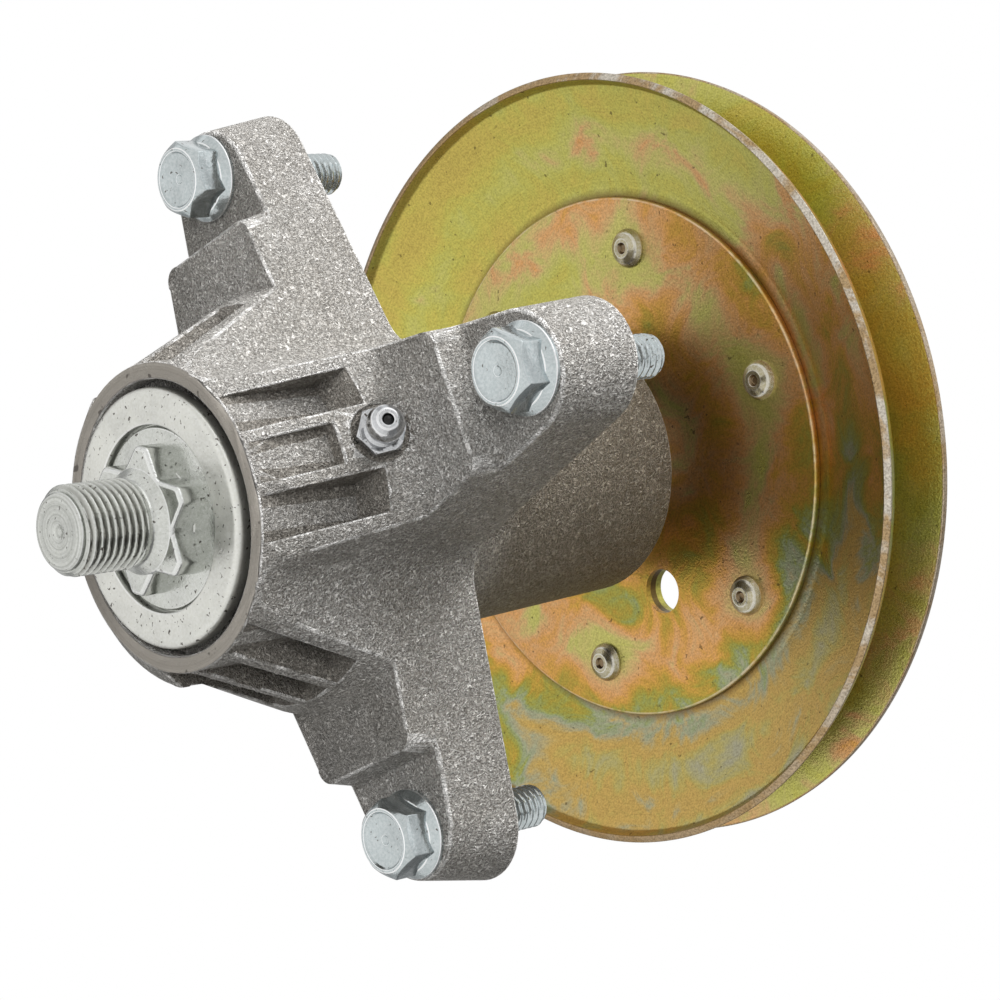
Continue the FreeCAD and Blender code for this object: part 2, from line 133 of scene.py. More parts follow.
def cast_aluminium():
    """Blasted skin: glints painted on crooked ridges, ringed with painted shade, on a darker ground; scuffed edges;
    a turned face.
    """
    finish, tree, shader, place = new_finish("cast_aluminium")
    swirl = noise(tree, place, 1080, 0.7, 0.5, 1.2)
    beside = reckon(tree, "ABSOLUTE", reckon(tree, "SUBTRACT", swirl, 0.5))
    ridge = span(tree, beside, 0.080, 0.0)
    # The ridges' crests are painted near-white as glints and ringed darker as painted shade, over the grain's own
    # tone.
    outline = ramp(tree, beside, [(0.05, 1, 1, 1), (0.085, 0.62, 0.61, 0.60), (0.19, 1, 1, 1)])
    grain = noise(tree, place, 2300, 1.0)
    pits = noise(tree, place, 330, 2.0)
    stain = noise(tree, place, 38, 4.0, 0.6)
    skin = ramp(tree, grain, [(0.34, 0.205, 0.197, 0.185), (0.5, 0.365, 0.356, 0.340), (0.66, 0.54, 0.53, 0.515)])
    # Painted glints: the crests of the grain, where the pits allow, are blended to near-white.
    painted_glint = reckon(tree, "MULTIPLY", ridge, span(tree, pits, 0.34, 0.60, 0.60, 1.0))
    skin = blend(tree, 1.0, skin, outline, "MULTIPLY")
    skin = blend(tree, painted_glint, skin, (0.97, 0.96, 0.945, 1))
    tone = ramp(tree, stain, [(0.25, 0.84, 0.82, 0.785), (0.55, 1.0, 0.99, 0.975), (0.8, 1.08, 1.08, 1.08)])
    skin = blend(tree, 1.0, skin, tone, "MULTIPLY")
    # Painted shade: faces in the slotted pockets are darkened.
    skin = blend(tree, mark(tree, "pocket_shade"), skin, blend(tree, 1.0, skin, (0.62, 0.60, 0.57, 1), "MULTIPLY"))
    rubbed = reckon(tree, "MULTIPLY", mark(tree, "rub"), span(tree, pits, 0.38, 0.56, 0.15, 0.95))
    skin = blend(tree, rubbed, skin, (0.80, 0.79, 0.775, 1))
    radius, spot = from_axis(tree, place)
    # The neck, fading in over its first 12 mm, is painted darker and browner: painted shade, and a painted
    # reflection of the yellow pulley.
    painted_neck_shade = reckon(tree, "MULTIPLY", span(tree, spot["Z"], 0.0, 0.012), span(tree, radius, 0.030, 0.034, 1.0, 0.0))
    skin = blend(tree, painted_neck_shade, skin, blend(tree, 1.0, skin, (0.57, 0.53, 0.46, 1), "MULTIPLY"))
    rings = turning_marks(tree, radius, 2600)
    turned_face = ramp(tree, rings, [(0.3, 0.36, 0.33, 0.29), (0.7, 0.50, 0.47, 0.425)])
    turned_face = blend(tree, span(tree, pits, 0.66, 0.70, 0.0, 0.8), turned_face, (0.07, 0.06, 0.05, 1))
    machined = span(tree, spot["Z"], -0.04797, -0.04807)
    skin = blend(tree, machined, skin, turned_face)
    tree.links.new(skin, shader.inputs["Base Color"])
    shader.inputs["Metallic"].default_value = 0.15
    shader.inputs["Specular IOR Level"].default_value = 0.35
    tree.links.new(span(tree, rubbed, 0.0, 1.0, 0.52, 0.30), shader.inputs["Roughness"])
    relief = reckon(tree, "MULTIPLY_ADD", ridge, 0.7, reckon(tree, "MULTIPLY_ADD", pits, 0.5, grain))
    relief = reckon(tree, "MULTIPLY", relief, span(tree, machined, 0.0, 1.0, 1.0, 0.12))
    bump(tree, shader, relief, 0.00055)
    return finish


def shown(name, mesh):
    piece = bpy.data.objects.new(name, mesh)
    bpy.context.scene.collection.objects.link(piece)
    return piece


def formed(name, bm):
    """A piece from a mesh that was being worked on."""
    mesh = bpy.data.meshes.new(name)
    bm.to_mesh(mesh)
    bm.free()
    return shown(name, mesh)


def smooth(mesh, degrees=34):
    mesh.polygons.foreach_set("use_smooth", [True] * len(mesh.polygons))
    mesh.set_sharp_from_angle(angle=math.radians(degrees))


def settled(piece):
    """Give a piece the mesh that its modifiers make, and take them off."""
    graph = bpy.context.evaluated_depsgraph_get()
    made = bpy.data.meshes.new_from_object(piece.evaluated_get(graph))
    piece.modifiers.clear()
    piece.data = made
    return piece


def dress(piece, body, slot, finish, *stands_for):
    """Put a finish on a piece, ride it on its body and let it stand for solids."""
    piece.data.materials.clear()
    piece.data.materials.append(finish)
    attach(piece, body)
    if stands_for:
        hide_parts(*stands_for)


def clear_run(edge):
    """The stretch of an edge that keeps off small or tapering neighbours at its ends, or nothing if it is short."""
    small, keep_off, shortest = 0.6 * MM, 0.8 * MM, 1.7 * MM
    for corner in tuple(edge.verts):
        length = edge.calc_length()
        back = keep_off if min(side.calc_length() for side in corner.link_edges) < small else 0.0
        for side in {side for face in edge.link_faces for side in face.edges if corner in side.verts} - {edge}:
            here = corner.co
            lean = (edge.other_vert(corner).co - here).angle(side.other_vert(corner).co - here)
            if lean < math.radians(40):
                back = max(back, 0.55 * MM / math.tan(lean))
        if back:
            if length < back + shortest:
                return None
            fresh = bmesh.utils.edge_split(edge, corner, back / length)[0]
            edge = next(part for part in (edge, fresh) if corner not in part.verts)
    return edge


def casting():
    """The housing's solid with its triangles merged, its pockets marked for painted shade and its outer edges
    rounded and rubbed.
    """
    pocket_area, pocket_share, edge_round = 160 * MM ** 2, 0.35, 0.42 * MM
    bm = bmesh.new()
    bm.from_mesh(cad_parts["housing"].data)
    bmesh.ops.remove_doubles(bm, verts=bm.verts, dist=1e-6)
    bmesh.ops.dissolve_limit(bm, angle_limit=math.radians(0.6), verts=bm.verts, edges=bm.edges)
    rub = bm.faces.layers.float.new("rub")
    pocket_shade = bm.faces.layers.float.new("pocket_shade")
    for face in bm.faces:
        inner = [edge.calc_length() for edge in face.edges if edge.calc_face_angle_signed() < -math.radians(20)]
        walled_in = sum(inner) > pocket_share * face.calc_perimeter()
        face[pocket_shade] = float(face.calc_area() < pocket_area and walled_in)
        width = face.calc_area() / max(edge.calc_length() for edge in face.edges)
        bend = max(edge.calc_face_angle_signed() for edge in face.edges)
        face[rub] = float(bend > math.radians(10) and width < min(0.4, 0.9 * bend) * MM)
    sharp = [edge for edge in bm.edges if edge.calc_face_angle_signed() > math.radians(28)]
    outer = [run for run in map(clear_run, sharp) if run]
    rounded = bmesh.ops.bevel(
        bm, geom=outer, offset=edge_round, offset_type="OFFSET", segments=2, profile=0.5, affect="EDGES",
        clamp_overlap=False, material=-1,
    )
    for face in rounded["faces"]:
        face[rub] = 1.0
    piece = formed("casting", bm)
    smooth(piece.data, 32)
    return piece


dress(casting(), "housing", "cast_aluminium", cast_aluminium(), "housing")


# Bearings. Two sealed ball bearings: ground steel rings, polished balls in a moulded cage and rubber lip seals.
# Their outer rings are pressed into the housing, and the shaft runs in their inner rings.
def ground_steel():
    finish, tree, shader, place = new_finish("ground_steel")
    squeezed = add(tree, "ShaderNodeMapping", {"Vector": place, "Scale": (1, 1, 14)}).outputs["Vector"]
    marks = noise(tree, squeezed, 260, 3.0)
    skin = ramp(tree, marks, [(0.3, 0.46, 0.47, 0.49), (0.7, 0.66, 0.67, 0.69)])
    tree.links.new(skin, shader.inputs["Base Color"])
    tree.links.new(span(tree, marks, 0.3, 0.7, 0.18, 0.32), shader.inputs["Roughness"])
    shader.inputs["Metallic"].default_value = 1.0
    return finish


def moulded(name, dark, light, roughness):
    """Moulded nylon or rubber with a faint grain."""
    finish, tree, shader, place = new_finish(name)
    grain = noise(tree, place, 900, 3.0)
    tree.links.new(blend(tree, grain, dark, light), shader.inputs["Base Color"])
    tree.links.new(span(tree, grain, 0.3, 0.7, roughness - 0.06, roughness + 0.06), shader.inputs["Roughness"])
    bump(tree, shader, grain, 0.00004)
    return finish


def face_solids(names, finish):
    for name in names:
        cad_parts[name].material_slots[0].material = finish


ring_steel = ground_steel()
face_solids(["lower_outer_ring", "lower_inner_ring", "lower_balls"], ring_steel)
face_solids(["upper_outer_ring", "upper_inner_ring", "upper_balls"], ring_steel)
cage_nylon = moulded("cage_nylon", (0.52, 0.45, 0.32, 1), (0.66, 0.60, 0.46, 1), 0.5)
face_solids(["lower_cage", "upper_cage"], cage_nylon)
seal_rubber = moulded("seal_rubber", (0.012, 0.012, 0.013, 1), (0.03, 0.03, 0.03, 1), 0.6)
face_solids(["lower_seals", "upper_seals"], seal_rubber)


# Spacer tube and hub sleeve. Cut steel tube, zinc plated: one keeps the inner rings apart inside the housing,
# the other carries the pulley clear of the neck.
def clear_zinc(name, tint, specks, roughness, edges=0.3):
    """Clear-passivated zinc: pale and bluish, cloudy, with fine dark pores and rubbed edges."""
    finish, tree, shader, place = new_finish(name)
    cloud = noise(tree, place, 150, 4.0, 0.6, 0.4)
    fine = noise(tree, place, 1900, 2.0)
    pores = noise(tree, place, 1350, 1.5, 0.5, 0.6)
    low = tuple(0.84 * part for part in tint)
    skin = ramp(tree, cloud, [(0.28, *low), (0.52, *tint), (0.8, *(min(1.0, 1.12 * part) for part in tint))])
    skin = blend(tree, span(tree, fine, 0.35, 0.65, 0.0, 0.20), skin, (0.95, 0.96, 0.97, 1))
    skin = blend(tree, span(tree, pores, 0.715 - 0.04 * specks, 0.745 - 0.04 * specks), skin, (0.09, 0.08, 0.07, 1))
    skin = blend(tree, reckon(tree, "MULTIPLY", mark(tree, "rub"), edges), skin, (0.96, 0.97, 0.98, 1))
    tree.links.new(skin, shader.inputs["Base Color"])
    tree.links.new(span(tree, cloud, 0.3, 0.7, roughness - 0.07, roughness + 0.07), shader.inputs["Roughness"])
    shader.inputs["Metallic"].default_value = 0.96
    bump(tree, shader, reckon(tree, "MULTIPLY_ADD", fine, 0.3, cloud), 0.00010)
    return finish


tube_zinc = clear_zinc("tube_zinc", tint=(0.50, 0.52, 0.54), specks=0.3, roughness=0.36)
face_solids(["bearing_spacer", "hub_sleeve"], tube_zinc)


# Shaft. Turned from bar, with a six-lobed star and a round flange forged on for the blade. The thread for the
# blade's nut is fine and slightly flattened at its crests; the end face keeps the lathe's rings and centre mark.
def soft(points, radii, steps=5, loop=True):
    """An outline whose corners are drawn round, each by its own radius."""
    if not isinstance(radii, (list, tuple)):
        radii = [radii] * len(points)
    drawn = []
    for k, (point, radius) in enumerate(zip(points, radii)):
        corner = Vector(point)
        ends = k in (0, len(points) - 1) and not loop
        if ends or radius == 0:
            drawn.append(tuple(corner))
            continue
        back = Vector(points[k - 1]) - corner
        on = Vector(points[(k + 1) % len(points)]) - corner
        half = back.angle(on) / 2
        reach = min(radius / math.tan(half), 0.46 * back.length, 0.46 * on.length)
        start = corner + back.normalized() * reach
        stop = corner + on.normalized() * reach
        for step in range(steps):
            t = step / (steps - 1)
            drawn.append(tuple(start * (1 - t) ** 2 + corner * 2 * t * (1 - t) + stop * t ** 2))
    return drawn


def small_corners(outline):
    """For each side of an outline, 1 where it belongs to a small outer corner."""
    points = [Vector(point) for point in outline]
    ahead = points[1:] + points[:1]
    sides = [two - one for one, two in zip(points, ahead)]
    sense = sum(one.cross(two) for one, two in zip(points, ahead))
    marks = []
    for k, side in enumerate(sides):
        bend = sides[k - 1].cross(side) + side.cross(sides[(k + 1) % len(sides)])
        marks.append(float(side.length < 0.3 and bend * sense > 0))
    return marks


def turned(name, outline, steps=160):
    """A closed piece turned about Z from (radius, height) points; a radius of 0 closes it on the axis."""
    bm = bmesh.new()
    rub = bm.faces.layers.float.new("rub")
    rings = []
    for radius, z in outline:
        if radius == 0:
            rings.append([bm.verts.new((0, 0, z * MM))])
            continue
        angles = [math.tau * k / steps for k in range(steps)]
        rings.append([bm.verts.new((radius * MM * math.cos(a), radius * MM * math.sin(a), z * MM)) for a in angles])
    pairs = list(zip(rings, rings[1:]))
    if len(rings[0]) > 1:
        pairs.append((rings[-1], rings[0]))
    for (one, two), rubbed in zip(pairs, small_corners(outline)):
        for k in range(steps):
            corners = [one[k % len(one)], two[k % len(two)], two[(k + 1) % len(two)], one[(k + 1) % len(one)]]
            corners = [v for n, v in enumerate(corners) if v not in corners[:n]]
            if len(corners) > 2:
                bm.faces.new(corners)[rub] = rubbed
    bmesh.ops.recalc_face_normals(bm, faces=bm.faces)
    piece = formed(name, bm)
    smooth(piece.data)
    return piece


def thread_tree():
    """A threaded rod about Z: a grid wrapped round the axis, cut in by a wave that climbs one pitch a turn."""
    tree = bpy.data.node_groups.new("threaded_rod", "GeometryNodeTree")
    face = tree.interface
    for name in ("Radius", "Depth", "Pitch", "Bottom", "Top", "Chamfer", "Rows"):
        face.new_socket(name, in_out="INPUT", socket_type="NodeSocketFloat")
    face.new_socket("Finish", in_out="INPUT", socket_type="NodeSocketMaterial")
    face.new_socket("Rod", in_out="OUTPUT", socket_type="NodeSocketGeometry")
    size = add(tree, "NodeGroupInput").outputs
    rows = size["Rows"]
    grid = add(tree, "GeometryNodeMeshGrid", {"Size X": 1.0, "Size Y": 1.0, "Vertices X": 73, "Vertices Y": rows})
    spot = add(tree, "ShaderNodeSeparateXYZ", {0: add(tree, "GeometryNodeInputPosition").outputs[0]}).outputs
    around = reckon(tree, "ADD", spot["X"], 0.5)
    row = reckon(tree, "MULTIPLY", reckon(tree, "ADD", spot["Y"], 0.5), reckon(tree, "SUBTRACT", rows, 1.0))
    climb = reckon(tree, "DIVIDE", reckon(tree, "SUBTRACT", row, 1.0), reckon(tree, "SUBTRACT", rows, 3.0))
    climb = add(tree, "ShaderNodeClamp", {"Value": climb}).outputs[0]
    length = reckon(tree, "SUBTRACT", size["Top"], size["Bottom"])
    rise = reckon(tree, "MULTIPLY", climb, length)
    turns = reckon(tree, "SUBTRACT", reckon(tree, "DIVIDE", rise, size["Pitch"]), around)
    wave = reckon(tree, "PINGPONG", turns, 0.5)
    cut = span(tree, wave, 0.09, 0.43)
    radius = reckon(tree, "SUBTRACT", size["Radius"], reckon(tree, "MULTIPLY", cut, size["Depth"]))
    from_end = reckon(tree, "MINIMUM", rise, reckon(tree, "SUBTRACT", length, rise))
    end_r = reckon(tree, "ADD", reckon(tree, "SUBTRACT", size["Radius"], size["Chamfer"]), from_end)
    radius = reckon(tree, "MINIMUM", radius, end_r)
    inner = reckon(tree, "GREATER_THAN", row, 0.5)
    outer = reckon(tree, "LESS_THAN", row, reckon(tree, "SUBTRACT", rows, 1.5))
    radius = reckon(tree, "MULTIPLY", radius, reckon(tree, "MULTIPLY", inner, outer))
    angle = reckon(tree, "MULTIPLY", around, math.tau)
    x = reckon(tree, "MULTIPLY", radius, reckon(tree, "COSINE", angle))
    y = reckon(tree, "MULTIPLY", radius, reckon(tree, "SINE", angle))
    z = reckon(tree, "ADD", rise, size["Bottom"])
    point = add(tree, "ShaderNodeCombineXYZ", {"X": x, "Y": y, "Z": z}).outputs[0]
    rod = add(tree, "GeometryNodeSetPosition", {"Geometry": grid.outputs["Mesh"], "Position": point}).outputs[0]
    rod = add(tree, "GeometryNodeMergeByDistance", {"Geometry": rod, "Distance": 1e-6}).outputs[0]
    rod = add(tree, "GeometryNodeRealizeInstances", {"Geometry": rod}).outputs[0]
    rod = add(tree, "GeometryNodeSetMaterial", {"Geometry": rod, "Material": size["Finish"]}).outputs[0]
    add(tree, "NodeGroupOutput", {"Rod": rod})
    return tree


def worked(name, tree, mesh=None, **sizes):
    """The plain mesh that a tree makes with its named sizes."""
    piece = shown(name, mesh or bpy.data.meshes.new(name))
    maker = piece.modifiers.new(tree.name, "NODES")
    maker.node_group = tree
    for socket in tree.interface.items_tree:
        if socket.in_out == "INPUT" and socket.name in sizes:
            maker[socket.identifier] = sizes[socket.name]
    return settled(piece)


def threaded(name, radius, depth, pitch, bottom, top, chamfer, finish):
    rows = float(round((top - bottom) / pitch * 12) + 3)
    rod = worked(
        name, threaded_rod, Radius=radius * MM, Depth=depth * MM, Pitch=pitch * MM, Bottom=bottom * MM,
        Top=top * MM, Chamfer=chamfer * MM, Rows=rows, Finish=finish,
    )
    smooth(rod.data, 40)
    return rod


def joined(name, pieces):
    """Several meshes as one piece."""
    bm = bmesh.new()
    for piece in pieces:
        bm.from_mesh(piece.data)
        bpy.data.objects.remove(piece)
    return formed(name, bm)


def edged(piece, width, segments, degrees):
    """Round a piece's edges, and mark the outer ones as rubbed."""
    piece.data.materials.append(None)
    piece.data.materials.append(None)
    edge = piece.modifiers.new("edge", "BEVEL")
    edge.width = width * MM
    edge.segments = segments
    edge.angle_limit = math.radians(degrees)
    edge.material = 1
    settled(piece)
    bm = bmesh.new()
    bm.from_mesh(piece.data)
    rub = bm.faces.layers.float.new("rub")
    for face in bm.faces:
        if face.material_index == 1:
            middle = face.calc_center_median()
            beside = [other for side in face.edges for other in side.link_faces if other is not face]
            lean = sum((other.calc_center_median() - middle).dot(face.normal) for other in beside)
            face[rub] = float(lean < 0)
        face.material_index = 0
    bm.to_mesh(piece.data)
    bm.free()


def prism(name, outline, low, high):
    """An outline of (x, y) points carried along Z between two heights."""
    bm = bmesh.new()
    ends = [[bm.verts.new((x * MM, y * MM, z * MM)) for x, y in outline] for z in (low, high)]
    bm.faces.new(ends[0][::-1])
    bm.faces.new(ends[1])
    for k in range(len(outline)):
        n = (k + 1) % len(outline)
        bm.faces.new((ends[0][k], ends[0][n], ends[1][n], ends[1][k]))
    return formed(name, bm)


def star():
    """Six lobes with flat ends and round bottoms between them."""
    outline = []
    for k in range(6):
        for radius, offset in ((13.2, -6.5), (13.2, 6.5), (10.15, 22.1), (9.35, 30.0), (10.15, 37.9)):
            angle = math.radians(60 * k + offset)
            outline.append((radius * math.cos(angle), radius * math.sin(angle)))
    outline = soft(outline, [1.3, 1.3, 2.4, 4.5, 2.4] * 6, 5)
    piece = prism("star", outline, -53.5, -47.0)
    edged(piece, width=0.8, segments=4, degrees=45)
    smooth(piece.data, 40)
    return piece


def marked(finish, mask, colour):
    """Lay one more colour over a finish, where a mask made from radius and place says so."""
    tree = finish.node_tree
    face = tree.nodes["Principled BSDF"].inputs["Base Color"]
    radius, spot = from_axis(tree, add(tree, "ShaderNodeTexCoord").outputs["Object"])
    tree.links.new(blend(tree, mask(tree, radius, spot), face.links[0].from_socket, colour), face)
    return finish


def lathe_rings(tree, radius, spot):
    rings = span(tree, turning_marks(tree, radius, 1900), 0.42, 0.62, 0.0, 0.55)
    return reckon(tree, "MULTIPLY", rings, span(tree, spot["Z"], -0.0685, -0.0695))


def thread_roots(tree, radius, spot):
    """The roots of the blade's thread are darker."""
    deep = span(tree, radius, 0.00725, 0.00790, 0.8, 0.0)
    on_thread = span(tree, spot["Z"], -0.0568, -0.0572)
    off_end = span(tree, spot["Z"], -0.0688, -0.0684)
    return reckon(tree, "MULTIPLY", deep, reckon(tree, "MULTIPLY", on_thread, off_end))


threaded_rod = thread_tree()
shaft_zinc = clear_zinc("shaft_zinc", tint=(0.56, 0.575, 0.54), specks=0.7, roughness=0.21)
shaft_zinc = marked(shaft_zinc, lathe_rings, (0.30, 0.31, 0.29, 1))
shaft_zinc = marked(shaft_zinc, thread_roots, (0.13, 0.125, 0.105, 1))
shaft_outline = soft(
    [
        (0, -56.6), (7.25, -56.6), (7.25, -55.2), (9.6, -53.3), (9.6, -48.6), (15.95, -48.6), (16.1, -47.3),
        (16.5, -47.3), (16.5, -44.6), (11.3, -44.6), (11.3, -42.0), (8.5, -42.0), (8.5, 69.0), (7.94, 69.0),
        (7.0, 70.0), (0, 70.0),
    ],
    [0, 0, 1.5, 1.2, 0.5, 0.35, 0.1, 0.1, 0.3, 0.3, 0.3, 0.3, 0.2, 0.2, 0.2, 0],
    loop=False,
)
end_outline = soft(
    [(0, -69.45), (0.5, -69.6), (1.5, -70.05), (2.2, -70.2), (6.3, -70.15), (6.9, -69.7), (6.4, -69.0), (0, -68.6)],
    [0, 0.2, 0.3, 0.3, 0.3, 0.3, 0, 0],
    loop=False,
)
shaft_thread = (7.94, 0.80, 1.411)
shaft = joined("shaft_turning", [
    turned("shaft_body", shaft_outline),
    turned("shaft_end", end_outline, 96),
    star(),
    threaded("blade_thread", *shaft_thread, bottom=-69.3, top=-56.0, chamfer=0.9, finish=shaft_zinc),
    threaded("nut_thread", *shaft_thread, bottom=69.0, top=88.6, chamfer=1.3, finish=shaft_zinc),
])
dress(shaft, "spindle", "shaft_steel", shaft_zinc, "shaft")


# Dust ring. A steel ring pressed on the shaft's flange, turning just inside the housing's mouth. Its outer edge is
# rolled over, and its zinc is pale, with small dark pores.
ring_zinc = clear_zinc("ring_zinc", tint=(0.665, 0.67, 0.625), specks=1.0, roughness=0.34)
ring_outline = soft(
    [(16.5, -49.45), (16.75, -49.6), (22.9, -49.6), (22.9, -46.6), (16.5, -46.6)], [0, 0.1, 1.3, 0.3, 0], 7
)
dust_ring = turned("dust_ring_turning", ring_outline, 192)
dress(dust_ring, "spindle", "clear_zinc", ring_zinc, "dust_ring")


# Pulley. A round face plate and two pressed sheet halves, riveted together, then zinc plated and dipped yellow.
# The dip's film is uneven: yellow-green and gold, with pink rings, orange patches and a few blue-grey ones. The
# sheets' cut edges are rubbed, on one side down to the steel.
rivet_circle = 42.0
sheet_bore, sheet_thick = 8.6, 1.5
plain_hole = (4.4, 0, 28.3)


def rivet_distance(tree, radius, spot):
    """How far a point lies from the axis of the nearest rivet."""
    wedge = reckon(tree, "PINGPONG", reckon(tree, "ARCTAN2", spot["Y"], spot["X"]), math.pi / 6)
    along = reckon(tree, "MULTIPLY_ADD", radius, reckon(tree, "COSINE", wedge), -rivet_circle * MM)
    across = reckon(tree, "MULTIPLY", radius, reckon(tree, "SINE", wedge))
    off = add(tree, "ShaderNodeCombineXYZ", {"X": along, "Y": across}).outputs[0]
    return add(tree, "ShaderNodeVectorMath", {0: off}, operation="LENGTH").outputs["Value"]


def towards(tree, place, direction):
    made = add(tree, "ShaderNodeVectorMath", {0: place, 1: direction}, operation="DOT_PRODUCT")
    return made.outputs["Value"]


def yellow_zinc(name, film, rise, ring, halo, end, chips, plate_shadow=0.0):
    """Yellow-passivated zinc: its film grows from gold through green, pink, orange, olive and blue-grey to tan.

    rise is how fast the film grows across the piece, ring its swell, pitch and peak round the axis, halo how clearly
    it pales round the rivets, end the slope and limit of the sheet's cut edge, chips how much of that edge is bare,
    and plate_shadow the radius inside which the sheet is painted dark brown, fading out 2 mm beyond it: a painted
    shadow of the face plate's edge.
    """
    finish, tree, shader, place = new_finish(name)
    radius, spot = from_axis(tree, place)
    wander = noise(tree, place, 17, 2.0, 0.5, 0.9)
    patch = noise(tree, place, 75, 6.0, 0.62, 1.2)
    swell, pitch, peak = ring
    turns = reckon(tree, "MULTIPLY_ADD", radius, math.tau / pitch, -math.tau * peak / pitch)
    depth = reckon(tree, "MULTIPLY_ADD", wander, 0.62, film - 0.71)
    depth = reckon(tree, "MULTIPLY_ADD", patch, 0.80, depth)
    depth = reckon(tree, "MULTIPLY_ADD", reckon(tree, "COSINE", turns), swell, depth)
    depth = reckon(tree, "ADD", depth, towards(tree, place, rise))
    near_rivet = span(tree, rivet_distance(tree, radius, spot), 0.0045, 0.0100, halo, 0.0)
    depth = blend(tree, near_rivet, depth, (0.42, 0.42, 0.42, 1))
    deepest = 1.4
    colours = [
        (0.05, 0.470, 0.370, 0.090),
        (0.20, 0.520, 0.420, 0.100),
        (0.34, 0.470, 0.450, 0.095),
        (0.47, 0.490, 0.490, 0.160),
        (0.58, 0.640, 0.340, 0.185),
        (0.69, 0.640, 0.335, 0.070),
        (0.79, 0.430, 0.300, 0.050),
        (0.88, 0.280, 0.330, 0.060),
        (0.96, 0.320, 0.365, 0.310),
        (1.04, 0.520, 0.365, 0.100),
        (1.13, 0.540, 0.345, 0.110),
        (1.22, 0.460, 0.405, 0.105),
        (1.34, 0.400, 0.385, 0.270),
    ]
    stops = [(at / deepest, *colour) for at, *colour in colours]
    skin = ramp(tree, reckon(tree, "DIVIDE", depth, deepest), stops, "B_SPLINE")
    fine = noise(tree, place, 2400, 2.0, 0.6)
    marks = turning_marks(tree, radius, 2400)
    spots = ramp(tree, fine, [(0.32, 0.52, 0.48, 0.42), (0.5, 1, 1, 1), (0.70, 1.42, 1.40, 1.36)])
    skin = blend(tree, 0.45, skin, spots, "MULTIPLY")
    # Dark brown inside the given radius, fading out over 2 mm beyond it: a painted shadow of the face plate's edge.
    skin = blend(tree, span(tree, radius, plate_shadow, plate_shadow + 0.0020, 0.85, 0.0), skin, (0.13, 0.07, 0.025, 1))
    skin = blend(tree, 0.5, skin, ramp(tree, marks, [(0.3, 0.84, 0.83, 0.80), (0.7, 1.16, 1.16, 1.16)]), "MULTIPLY")
    pores = noise(tree, place, 640, 2.0)
    skin = blend(tree, span(tree, pores, 0.70, 0.74, 0.0, 0.65), skin, (0.07, 0.05, 0.02, 1))
    scuffs = noise(tree, place, 300, 2.0)
    worn = reckon(tree, "MULTIPLY", mark(tree, "rub"), span(tree, scuffs, 0.40, 0.56, 0.1, 0.6))
    skin = blend(tree, worn, skin, (0.70, 0.58, 0.40, 1))
    along, down, limit = end
    reach = reckon(tree, "MULTIPLY_ADD", spot["Z"], down, reckon(tree, "MULTIPLY", radius, along))
    cut = span(tree, reach, limit - 0.00008, limit)
    rubbed = span(tree, towards(tree, place, (0.923, -0.208, 0)), 0.0, 0.045, 0.2, 1.0)
    bare = reckon(tree, "MULTIPLY", rubbed, span(tree, patch, 0.44, 0.54, 0.1, chips))
    cut_skin = blend(tree, bare, (0.36, 0.24, 0.11, 1), (0.55, 0.52, 0.46, 1))
    skin = blend(tree, cut, skin, blend(tree, 0.8, cut_skin, spots, "MULTIPLY"))
    tree.links.new(skin, shader.inputs["Base Color"])
    shader.inputs["Metallic"].default_value = 0.9
    tree.links.new(span(tree, patch, 0.3, 0.7, 0.27, 0.36), shader.inputs["Roughness"])
    bump(tree, shader, reckon(tree, "MULTIPLY_ADD", patch, 1.5, fine), 0.00006)
    return finish


def sheet_outline(points, thick, bends):
    """Outline of a pressed sheet: one side through points, the other a thickness to its left, with round bends."""
    sides = []
    for one, two in zip(points, points[1:]):
        run = Vector(two) - Vector(one)
        sides.append(Vector((-run.y, run.x)).normalized())
    far = []
    for k, point in enumerate(points):
        one, two = sides[max(k - 1, 0)], sides[min(k, len(sides) - 1)]
        far.append(tuple(Vector(point) + (one + two) * (thick / (1 + one.dot(two)))))
    near_r, far_r = [0.15], [0.15]
    for k, bend in enumerate(bends):
        left = sides[k].x * sides[k + 1].y > sides[k].y * sides[k + 1].x
        near_r.append(bend + thick if left else bend)
        far_r.append(bend if left else bend + thick)
    near_r.append(0.25)
    far_r.append(0.25)
    return soft(list(points) + far[::-1], near_r + far_r[::-1], 6)


def drilled(piece, radius, x, y):
    """A plain hole through a flat piece, along Z."""
    low, high = 60.0, 75.0
    drill = turned("drill", [(0, low), (radius, low), (radius, high), (0, high)], 48)
    drill.data.transform(Matrix.Translation((x * MM, y * MM, 0)))
    cut = piece.modifiers.new("hole", "BOOLEAN")
    cut.object = drill
    cut.solver = "EXACT"
    settled(piece)
    bpy.data.objects.remove(drill)
    smooth(piece.data)
    return piece


plate_zinc = yellow_zinc(
    "plate_zinc", film=0.63, rise=(1.1, 2.8, 0), ring=(0.09, 0.021, 0.0495), halo=0.6, end=(0, 1, 0.1), chips=0.0
)
plate_outline = soft(
    [(sheet_bore, 64.9), (51.8, 64.9), (51.8, 66.1), (sheet_bore, 66.1)], [0.2, 0.5, 0.1, 0.1]
)
plate = drilled(turned("face_plate", plate_outline, 240), *plain_hole)
dress(plate, "spindle", "yellow_zinc", plate_zinc, "pulley_plate")

sheet_zinc = yellow_zinc(
    "sheet_zinc", film=0.70, rise=(0.4, 6.4, 0), ring=(0.09, 0.015, 0.0625), halo=0.0,
    end=(0.424, -0.906, -0.01975), chips=0.9, plate_shadow=0.0517,
)
lower_outline = sheet_outline(
    [(sheet_bore, 66.1), (54.0, 66.1), (73.81, 58.7), (74.84, 56.5)], sheet_thick, [3.0, 1.0]
)
lower_half = drilled(turned("belt_face_lower", lower_outline, 288), *plain_hole)
dress(lower_half, "spindle", "yellow_zinc", sheet_zinc, "pulley_lower_half")

